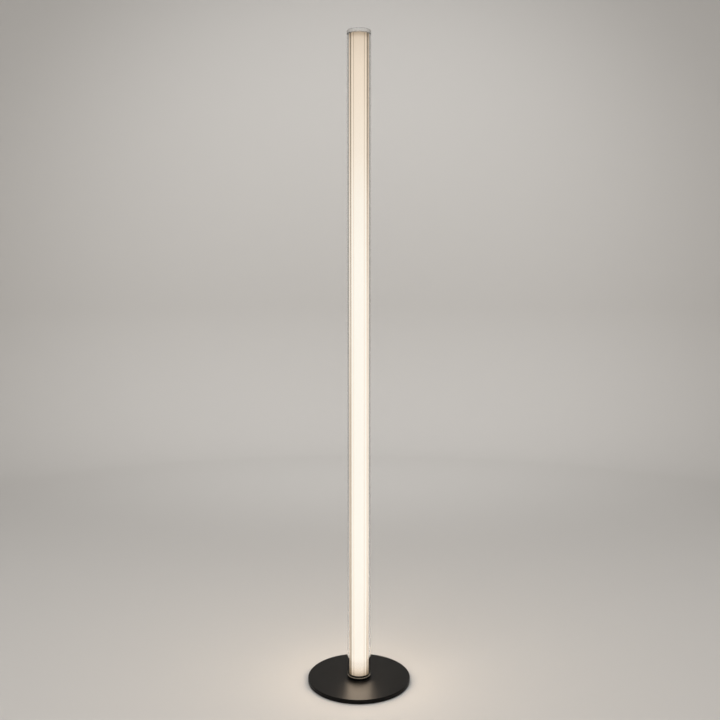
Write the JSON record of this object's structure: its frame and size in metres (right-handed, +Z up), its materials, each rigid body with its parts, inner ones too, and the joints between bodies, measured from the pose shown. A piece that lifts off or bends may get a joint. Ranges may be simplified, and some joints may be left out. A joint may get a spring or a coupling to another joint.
{
  "type": "floor lamp",
  "caption": "Tall floor lamp: a lit opal tube stands inside a clear tube with a clear cap, on a low black collar and a thin, flat, round black base.",
  "frame": {"origin": "on the floor, under the middle of the round base", "axes": "+Z up along the tube; -Y is the front; +Y is the rear, where the supply cord goes into the base"},
  "size_m": [0.264, 0.264, 1.644],
  "materials": {
    "base_steel": "satin black powder coat",
    "pad_foam": "soft black foam rubber",
    "cover_steel": "satin black paint on steel sheet",
    "screw_steel": "zinc plated",
    "grommet_rubber": "matt black",
    "terminal_plastic": "moulded, pale grey",
    "red_insulation": "smooth",
    "black_insulation": "smooth",
    "socket_black": "satin black on turned aluminium",
    "cushion_silicone": "soft black silicone",
    "board_white": "white solder mask",
    "core_aluminium": "plain extruded, fine lines along it",
    "tape_white": "white flexible board",
    "phosphor": "soft yellow phosphor, lit warm white",
    "plug_white": "moulded white",
    "opal_acrylic": "satin opal, lit warm white from inside",
    "clear_acrylic": "clear, polished"
  },
  "bodies": {
    "root": {"base_pad": "pad_foam", "base_plate": "base_steel", "base_cover": "cover_steel", "cover_screws": "screw_steel", "cord_grommet": "grommet_rubber", "terminal_block": "terminal_plastic", "terminal_screw": "screw_steel", "lead_red": "red_insulation", "lead_black": "black_insulation", "tube_socket": "socket_black", "tube_cushion": "cushion_silicone", "core_screws": "screw_steel", "feed_board": "board_white", "led_core": "core_aluminium", "core_plug": "plug_white", "led_tape_front": "tape_white", "led_tape_right": "tape_white", "led_tape_left": "tape_white", "led_line_front": "phosphor", "led_line_right": "phosphor", "led_line_left": "phosphor", "diffuser_tube": "opal_acrylic", "clear_tube": "clear_acrylic", "top_cap": "clear_acrylic"}
  },
  "joints": []
}
